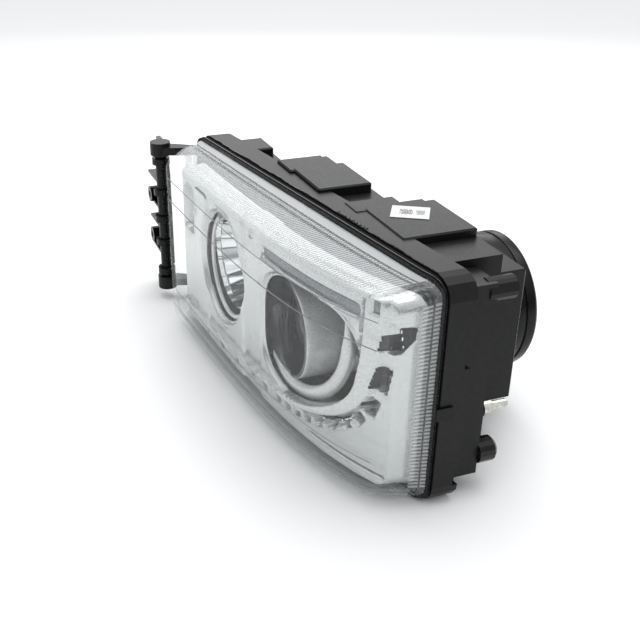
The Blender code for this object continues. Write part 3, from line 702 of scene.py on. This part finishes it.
def makeArc():
    rows = []
    for k in range(61):
        share = k / 60
        angle = radians(158 + 150 * share)
        s, u = 146 + 78 * cos(angle), 136 + 82 * sin(angle)
        u = max(u, 54.0 + 0.1 * (u - 54.0))
        width = (9.0 - 3.5 * share) * min(1.0, 0.12 + 5 * share, 0.12 + 5 * (1 - share))
        row = []
        for i in range(14):
            turn = 2 * pi * i / 14
            a, b = width * cos(turn), 0.75 * width * sin(turn)
            row.append((s + a * cos(angle), frontY(s) + 27 - b, u + a * sin(angle)))
        rows.append(row)
    bm = bmesh.new()
    addRows(bm, rows)
    finishBmesh("low_beam_arc", bm, "brightSatin", "lamp")


makeArc()

# high beam: bowl and trim
highPlace = middleOf("high_beam_reflector")


def facets(angle, radius, depth):
    return -0.9 * abs(sin(angle * 12)) * min(1.0, max(0.0, (radius - 14) / 30))


bowlProfile = [(60, -75.8), (60.6, -70), (52, -46), (40, -26), (26, -14), (14, -8), (11.2, -8),
               (11.2, -10.5), (24, -17), (37, -28), (49, -47), (57, -70), (57.5, -75.8)]
lathe("high_beam_bowl", eased(bowlProfile, 2),
      highPlace, "chrome", "reflectors", ("high_beam_reflector",), sides=144, hollow=True, ripple=facets)


def makeHighTrim():
    rows = []
    for k in range(49):
        angle = radians(-150 + 210 * k / 48)
        s, u = highEye["centre"][0] + 50 * cos(angle), highEye["centre"][1] + 57 * sin(angle)
        row = []
        for i in range(12):
            turn = 2 * pi * i / 12
            row.append((s + 2.8 * cos(turn) * cos(angle), frontY(s) + 25 - 2.2 * sin(turn),
                        u + 2.8 * cos(turn) * sin(angle)))
        rows.append(row)
    bm = bmesh.new()
    addRows(bm, rows)
    finishBmesh("high_beam_trim", bm, "brightSatin", "lamp")


makeHighTrim()
print("reflectors made")

# seal round the lens
seal = {"near": 0.35, "far": 9.6}


def sealShare(s):
    return 1 - lens["sweptBack"] / (seal["far"] - seal["near"]) * exp(-max(s, 0.0) / 9.0)


def makeSeal():
    counts = (60, 14, 30)
    section = ((2.9, seal["near"] + 0.6), (2.4, seal["near"]), (-5.5, seal["near"]), (-5.5, seal["far"]),
               (3.0, seal["far"]), (3.4, 8.4), (2.2, 7.6), (2.2, 5.6), (3.6, 5.0), (3.6, 4.0), (2.0, 3.2),
               (2.0, 1.6))
    rows = []
    for out, depth in section:
        box = (-out, seamWidth + out, -out, seamHeight + out, max(14 + out, 4))
        rows.append([(s, seamY(s) + seal["far"] - (seal["far"] - depth) * sealShare(s), u)
                     for s, u, *_ in roundRect(*box, counts)])
    bm = bmesh.new()
    addRows(bm, rows, looped=True)
    finishBmesh("lens_seal", bm, "blackRubber", "lamp", ("lens_gasket",), smooth=25)


makeSeal()


def makeSealant():
    draw = random.Random(7)
    path, height = [], 0.0
    for k in range(150):
        s = 14 + 425 * k / 149
        height = 0.75 * height + 0.5 * draw.uniform(-1, 1)
        path.append((s, seamY(s) + 10.6 + 0.9 * height, 219.9 + 0.25 * height))
    tube("sealant_line", path, 0.75, "sealant", "lamp", sides=7)
    blob = [(s, seamY(s) + 11.4 + 0.8 * sin(s), 220.1) for s in np.linspace(120, 168, 24)]
    tube("sealant_smear", [(a, b + draw.uniform(-0.7, 0.7), c) for a, b, c in blob], 1.25, "sealant",
         "lamp", sides=7)


makeSealant()
print("seal made")

# rear access caps, turned smooth, with a groove round the rim and a grip bar
capShape = {"groove": 9.0, "grooveDeep": 1.5, "grip": 0.8, "sides": 112}


def makeCap(node, body):
    low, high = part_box(node)
    start = rearSpan(node)[1] - 26
    r = (high.x - low.x) / mm / 2 - 7
    groove = start + capShape["groove"]
    outer = r + 7
    deep = outer - capShape["grooveDeep"]
    profile = [(0.4, start + 18), (r - 3, start + 18), (r - 3, start + 3.3), (r + 2, start + 3.3),
               (r + 2, start - 0.5), (r + 0.8, start - 8), (outer, start - 8), (outer, groove),
               (deep, groove + 0.6), (deep, groove + 2.6), (outer, groove + 3.2), (outer, start + 22),
               (r + 3, start + 26), (r - 4, start + 26), (r - 6, start + 22), (0.4, start + 22)]
    lathe(node + "_shell", eased(profile, 3), middleOf(node), "capPlastic", body, (node,),
          sides=capShape["sides"])
    s, u = middleOf(node)
    reach = r * capShape["grip"]
    bm = bmesh.new()
    addRows(bm, [[(a, y, b) for a, _, b in ((s - reach + i, 0, u - 4 + i), (s + reach - i, 0, u - 4 + i),
                                            (s + reach - i, 0, u + 4 - i), (s - reach + i, 0, u + 4 - i))]
                 for y, i in ((start + 21, 0), (start + 24.6, 0), (start + 25.4, 0.8))])
    finishBmesh(node + "_grip", bm, "capPlastic", body)


makeCap("low_beam_cap", "low_cap")
makeCap("high_beam_cap", "high_cap")
print("caps made")

# label with a block of meaningless marks
label = {"cells": 13, "cell": 0.95, "lines": 5, "seed": 11, "turn": 59.0}


def makePrint():
    low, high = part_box("label_sticker")
    middle = (low + high) / 2
    along = Vector((cos(radians(label["turn"])), sin(radians(label["turn"])), 0))
    across = Vector((-along.y, along.x, 0))
    draw = random.Random(label["seed"])
    marks = []
    for i in range(label["cells"]):
        for j in range(label["cells"]):
            if draw.random() < 0.5:
                marks.append((-9.5 + i * label["cell"], (j - 6) * label["cell"], 0.86, 0.86))
    for k in range(label["lines"]):
        marks.append((9.5, 4.6 - 2.3 * k, draw.uniform(5, 9), 0.8))
    verts, faces = [], []
    for a, b, length, width in marks:
        start = len(verts)
        for rise in (0.0, 0.12):
            for da, db in ((-length, -width), (length, -width), (length, width), (-length, width)):
                place = middle + along * (a + da / 2) * mm + across * (b + db / 2) * mm
                verts.append((place.x, place.y, high.z + rise * mm))
        faces += [tuple(start + v for v in side) for side in
                  ((3, 2, 1, 0), (4, 5, 6, 7), (0, 1, 5, 4), (1, 2, 6, 5), (2, 3, 7, 6), (3, 0, 4, 7))]
    mesh = bpy.data.meshes.new("label_print")
    mesh.from_pydata(verts, [], faces)
    placePiece("label_print", mesh, "printInk", "lamp", smooth=0)


makePrint()
print("label printed")

# housing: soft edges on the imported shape
cadLooks = {
    "housing": "blackPlastic", "drl_reflector_strip": "chrome", "drl_circuit_board": "circuitGreen",
    "led_driver": "steel", "hinge_pin_upper": "steel", "hinge_pin_lower": "steel",
    "reflector_carrier": "blackPlastic", "pivot_ball_socket": "greyPlastic", "pivot_ball_stud": "steel",
    "levelling_plunger": "greyPlastic", "levelling_motor": "blackPlastic",
    "vertical_adjuster_screw": "zinc", "horizontal_adjuster_rod": "zinc",
    "horizontal_adjuster_collar": "capPlastic", "horizontal_adjuster_screw": "zinc",
    "projector_bowl": "chrome", "cutoff_shield": "steel", "low_beam_bulb": "bulbGlass",
    "low_beam_socket": "blackPlastic", "high_beam_bulb": "bulbGlass", "high_beam_socket": "blackPlastic",
    "high_beam_glare_shield": "satinSilver", "turn_signal_reflector": "chrome",
    "turn_signal_bulb": "amberGlass", "turn_signal_socket": "greyPlastic",
    "low_beam_cap_seal": "blackRubber", "high_beam_cap_seal": "blackRubber",
    "connector_socket": "blackPlastic", "connector_pin_1": "brass", "connector_pin_2": "brass",
    "connector_pin_3": "brass", "vent_elbow": "blackRubber", "breather_cap": "blackRubber",
    "mounting_sleeve": "steel", "lens_clip_1": "capPlastic", "lens_clip_2": "capPlastic",
    "label_sticker": "paper", "hinge_bracket": "capPlastic",
}
softEdges = {"housing": 1.3, "hinge_bracket": 0.8, "levelling_motor": 0.8, "connector_socket": 0.4}
for name, look in cadLooks.items():
    node = nodes[name]
    node.data.materials.clear()
    node.data.materials.append(materials[look])
    if name in softEdges:
        bevel = node.modifiers.new("soft edges", "BEVEL")
        bevel.width = softEdges[name] * mm
        bevel.segments = 2
        bevel.limit_method = "ANGLE"
        bevel.angle_limit = radians(40)
print("packed nodes finished")

# floor, light and camera
studio = {"floor": (0.9, 0.9, 0.9), "sky": 0.22, "skyTop": 1.3}
camera = {"azimuth": 70.46, "elevation": 27.32, "roll": 0.19, "lens": 51.89, "shiftX": 0.0844,
          "shiftY": -0.0031, "cornerRight": 0.1363, "cornerDown": -0.0247, "cornerAway": 0.7351}


def makeFloor():
    bm = bmesh.new()
    bmesh.ops.create_grid(bm, x_segments=8, y_segments=8, size=6.0)
    mesh = bpy.data.meshes.new("floor")
    bm.to_mesh(mesh)
    bm.free()
    material = bpy.data.materials.new("studioFloor")
    material.use_nodes = True
    shader = material.node_tree.nodes["Principled BSDF"]
    shader.inputs["Base Color"].default_value = (*studio["floor"], 1)
    shader.inputs["Roughness"].default_value = 0.9
    shader.inputs["Specular IOR Level"].default_value = 0.1
    mesh.materials.append(material)
    floor = bpy.data.objects.new("floor", mesh)
    floor.location = (0, 0, cadBox[0].z - 0.0005)
    bpy.context.scene.collection.objects.link(floor)


def makeSky():
    world = bpy.data.worlds.new("studio")
    bpy.context.scene.world = world
    world.use_nodes = True
    tree = world.node_tree
    back = tree.nodes["Background"]
    coordinates = tree.nodes.new("ShaderNodeTexCoord")
    split = tree.nodes.new("ShaderNodeSeparateXYZ")
    tree.links.new(coordinates.outputs["Generated"], split.inputs[0])
    spread = tree.nodes.new("ShaderNodeMapRange")
    spread.inputs["From Min"].default_value = 0.15
    spread.inputs["From Max"].default_value = 0.9
    spread.inputs["To Min"].default_value = studio["sky"]
    spread.inputs["To Max"].default_value = studio["skyTop"]
    tree.links.new(split.outputs["Z"], spread.inputs["Value"])
    tree.links.new(spread.outputs["Result"], back.inputs["Strength"])
    back.inputs["Color"].default_value = (0.97, 0.985, 1.0, 1)


def softLight(name, place, size, power):
    light = bpy.data.lights.new(name, "AREA")
    light.shape = "RECTANGLE"
    light.size, light.size_y = size
    light.energy = power
    made = bpy.data.objects.new(name, light)
    made.location = place
    made.rotation_mode = "QUATERNION"
    made.rotation_quaternion = (-Vector(place)).to_track_quat("-Z", "Y")
    bpy.context.scene.collection.objects.link(made)


def makeCamera():
    azimuth, elevation = radians(camera["azimuth"]), radians(camera["elevation"])
    back = Vector((sin(azimuth) * cos(elevation), -cos(azimuth) * cos(elevation), sin(elevation)))
    roll = Matrix.Rotation(radians(-camera["roll"]), 3, "Z").to_quaternion()
    turn = (-back).to_track_quat("-Z", "Y") @ roll
    right, up = turn @ Vector((1, 0, 0)), turn @ Vector((0, 1, 0))
    corner = Vector((lensHigh.x, lensHigh.y, lensHigh.z))
    made = bpy.data.objects.new("camera", bpy.data.cameras.new("camera"))
    made.location = (corner - camera["cornerRight"] * right + camera["cornerDown"] * up
                     + camera["cornerAway"] * back)
    made.rotation_mode = "QUATERNION"
    made.rotation_quaternion = turn
    made.data.lens = camera["lens"]
    made.data.shift_x, made.data.shift_y = camera["shiftX"], camera["shiftY"]
    made.data.clip_start = 0.01
    bpy.context.scene.collection.objects.link(made)
    bpy.context.scene.camera = made


makeFloor()
makeSky()
softLight("overhead", (-0.2, 0.3, 1.6), (1.6, 1.2), 15)
softLight("far_side", (-1.5, 0.6, 0.9), (1.4, 0.9), 7)
makeCamera()
bpy.context.scene.view_settings.view_transform = "Standard"
print("studio made")
